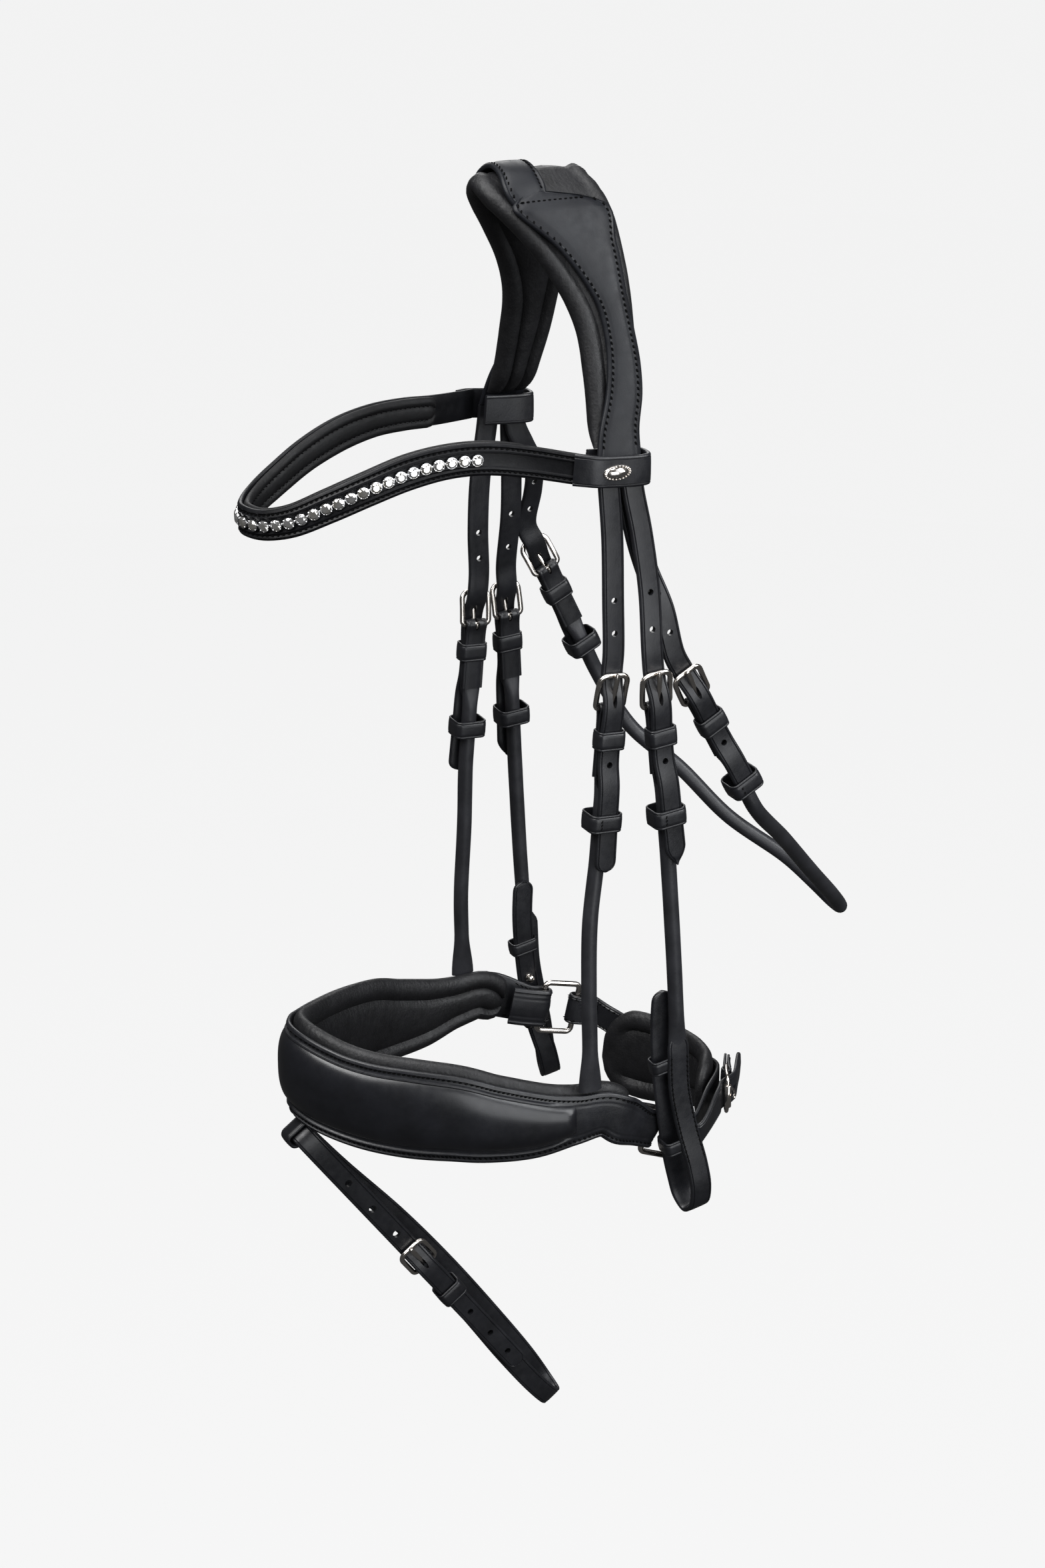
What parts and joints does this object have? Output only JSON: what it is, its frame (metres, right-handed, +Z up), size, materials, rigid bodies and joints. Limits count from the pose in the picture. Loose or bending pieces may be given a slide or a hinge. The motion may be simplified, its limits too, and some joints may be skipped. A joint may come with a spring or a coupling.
{
  "type": "snaffle bridle",
  "caption": "Padded leather snaffle bridle with a curved crystal browband, a crank noseband with chin strap, a flash strap and a throat latch, its buckles done up, without bit or reins.",
  "frame": {"origin": "underside of the headpiece's padding at the middle of the poll, on the plane of symmetry", "axes": "+Z up as the bridle hangs, -Y towards the nose, +X towards the near side, which is the horse's left"},
  "size_m": [0.1986, 0.3761, 0.7467],
  "materials": {
    "black_leather": "satin black bridle leather",
    "soft_leather": "soft grained black padding leather",
    "polished_nickel": "polished nickel-plated buckles, links and studs",
    "crystal": "clear cut crystals in bright metal cups"
  },
  "bodies": {
    "headpiece": {"headpiece_pad": "soft_leather", "headpiece_panel_near": "black_leather", "headpiece_panel_far": "black_leather", "poll_bridge": "black_leather"},
    "browband": {"browband_strap": "black_leather", "browband_padding": "soft_leather", "crystal_chain": "crystal", "browband_stud": "polished_nickel"},
    "noseband": {"hanger_strap_near": "black_leather", "hanger_strap_far": "black_leather", "hanger_buckle_near": "polished_nickel", "hanger_buckle_far": "polished_nickel", "hanger_near": "black_leather", "hanger_far": "black_leather", "noseband_pad": "soft_leather", "noseband_facing": "black_leather", "noseband_raised_panel": "black_leather", "flash_loop": "black_leather"},
    "cheek_near": {"cheek_strap_near": "black_leather", "cheek_buckle_near": "polished_nickel", "cheekpiece_near": "black_leather", "bit_strap_near": "black_leather", "hook_stud_near": "polished_nickel"},
    "cheek_far": {"cheek_strap_far": "black_leather", "cheek_buckle_far": "polished_nickel", "cheekpiece_far": "black_leather", "bit_strap_far": "black_leather", "hook_stud_far": "polished_nickel"},
    "throat_latch": {"throat_strap_near": "black_leather", "throat_strap_far": "black_leather", "throat_buckle_near": "polished_nickel", "throat_buckle_far": "polished_nickel", "throat_latch": "black_leather"},
    "flash": {"flash_strap": "black_leather", "flash_buckle": "polished_nickel", "flash_keeper": "black_leather"},
    "link_near": {"link_near": "polished_nickel"},
    "link_far": {"link_far": "polished_nickel"},
    "chin": {"chin_pad": "soft_leather", "chin_strap": "black_leather", "crank_buckle": "polished_nickel", "crank_chape": "black_leather"},
    "crank_roller": {"crank_roller": "polished_nickel"},
    "hanger_tongue_near": {"hanger_tongue_near": "polished_nickel"},
    "hanger_runner_near": {"hanger_runner_near": "black_leather"},
    "cheek_tongue_near": {"cheek_tongue_near": "polished_nickel"},
    "cheek_runner_near": {"cheek_runner_near": "black_leather"},
    "throat_tongue_near": {"throat_tongue_near": "polished_nickel"},
    "throat_runner_near": {"throat_runner_near": "black_leather"},
    "hanger_tongue_far": {"hanger_tongue_far": "polished_nickel"},
    "hanger_runner_far": {"hanger_runner_far": "black_leather"},
    "cheek_tongue_far": {"cheek_tongue_far": "polished_nickel"},
    "cheek_runner_far": {"cheek_runner_far": "black_leather"},
    "throat_tongue_far": {"throat_tongue_far": "polished_nickel"},
    "throat_runner_far": {"throat_runner_far": "black_leather"},
    "flash_tongue": {"flash_tongue": "polished_nickel"},
    "crank_tongue": {"crank_tongue": "polished_nickel"}
  },
  "joints": [
    {"name": "browband_slide", "type": "slide", "parent": "headpiece", "child": "browband", "axis": [0, 0, 1], "range_m": [-0.002, 0.003]},
    {"name": "noseband_swing", "type": "hinge", "parent": "headpiece", "child": "noseband", "pos_m": [0, 0.011, -0.1284], "axis": [-1, 0, 0], "range_deg": [0, 10]},
    {"name": "cheek_near_swing", "type": "hinge", "parent": "headpiece", "child": "cheek_near", "pos_m": [0.0704, 0.0243, -0.1385], "axis": [0, -1, 0], "range_deg": [0, 8]},
    {"name": "cheek_far_swing", "type": "hinge", "parent": "headpiece", "child": "cheek_far", "pos_m": [-0.0704, 0.0243, -0.1385], "axis": [0, 1, 0], "range_deg": [0, 8]},
    {"name": "throat_latch_swing", "type": "hinge", "parent": "headpiece", "child": "throat_latch", "pos_m": [0, 0.024, -0.134], "axis": [1, 0, 0], "range_deg": [0, 10]},
    {"name": "flash_swing", "type": "hinge", "parent": "noseband", "child": "flash", "pos_m": [0, -0.142, -0.507], "axis": [1, 0, 0], "range_deg": [-7, 7]},
    {"name": "link_near_turn", "type": "hinge", "parent": "noseband", "child": "link_near", "pos_m": [0.076, 0.0385, -0.511], "axis": [0, 0.4229, 0.9062], "range_deg": [-4, 4]},
    {"name": "link_far_turn", "type": "hinge", "parent": "noseband", "child": "link_far", "pos_m": [-0.0745, 0.046, -0.506], "axis": [0, 0.2234, 0.9747], "range_deg": [-4, 4]},
    {"name": "chin_turn", "type": "hinge", "parent": "link_near", "child": "chin", "pos_m": [0.07419, 0.05882, -0.52048], "axis": [0, 0.4229, 0.9062], "range_deg": [-4, 4]},
    {"name": "hanger_tongue_near_turn", "type": "hinge", "parent": "noseband", "child": "hanger_tongue_near", "pos_m": [0.076, 0.0095, -0.256], "axis": [0, 0.9969, -0.0791], "range_deg": [0, 15]},
    {"name": "hanger_runner_near_slide", "type": "slide", "parent": "noseband", "child": "hanger_runner_near", "axis": [-0.0107, 0.0791, 0.9968], "range_m": [-0.008, 0.003]},
    {"name": "cheek_tongue_near_turn", "type": "hinge", "parent": "cheek_near", "child": "cheek_tongue_near", "pos_m": [0.0835, 0.0335, -0.256], "axis": [0, 0.9964, 0.0851], "range_deg": [0, 15]},
    {"name": "cheek_runner_near_slide", "type": "slide", "parent": "cheek_near", "child": "cheek_runner_near", "axis": [-0.029, -0.0851, 0.996], "range_m": [-0.008, 0.003]},
    {"name": "throat_tongue_near_turn", "type": "hinge", "parent": "throat_latch", "child": "throat_tongue_near", "pos_m": [0.079, 0.0603, -0.2575], "axis": [0, 0.8797, 0.4755], "range_deg": [0, 15]},
    {"name": "throat_runner_near_slide", "type": "slide", "parent": "throat_latch", "child": "throat_runner_near", "axis": [0, -0.4755, 0.8797], "range_m": [-0.005, 0.003]},
    {"name": "hanger_tongue_far_turn", "type": "hinge", "parent": "noseband", "child": "hanger_tongue_far", "pos_m": [-0.0755, 0.0045, -0.2565], "axis": [0, -0.9973, 0.073], "range_deg": [0, 15]},
    {"name": "hanger_runner_far_slide", "type": "slide", "parent": "noseband", "child": "hanger_runner_far", "axis": [0.0141, 0.073, 0.9972], "range_m": [-0.008, 0.003]},
    {"name": "cheek_tongue_far_turn", "type": "hinge", "parent": "cheek_far", "child": "cheek_tongue_far", "pos_m": [-0.0835, 0.029, -0.2575], "axis": [0, -0.9981, -0.0611], "range_deg": [0, 15]},
    {"name": "cheek_runner_far_slide", "type": "slide", "parent": "cheek_far", "child": "cheek_runner_far", "axis": [0.0327, -0.0611, 0.9976], "range_m": [-0.008, 0.003]},
    {"name": "throat_tongue_far_turn", "type": "hinge", "parent": "throat_latch", "child": "throat_tongue_far", "pos_m": [-0.084, 0.054, -0.2332], "axis": [0, -0.9018, -0.4321], "range_deg": [0, 15]},
    {"name": "throat_runner_far_slide", "type": "slide", "parent": "throat_latch", "child": "throat_runner_far", "axis": [-0.0094, -0.4321, 0.9018], "range_m": [-0.005, 0.003]},
    {"name": "flash_tongue_turn", "type": "hinge", "parent": "flash", "child": "flash_tongue", "pos_m": [0.0095, -0.07036, -0.6076], "axis": [0, 0.8146, 0.5801], "range_deg": [0, 15]},
    {"name": "crank_tongue_turn", "type": "hinge", "parent": "chin", "child": "crank_tongue", "pos_m": [0.041, 0.108, -0.5165], "axis": [-0.0396, 0.0306, 0.9987], "range_deg": [0, 15]},
    {"name": "crank_roller_turn", "type": "hinge", "parent": "chin", "child": "crank_roller", "pos_m": [0.0577, 0.0994, -0.51557], "axis": [-0.0396, 0.0306, 0.9987], "continuous": true}
  ],
  "couplings": [
    {"joint": "link_far_turn", "follows": "link_near_turn", "ratio": 1},
    {"joint": "chin_turn", "follows": "link_near_turn", "ratio": -1}
  ]
}
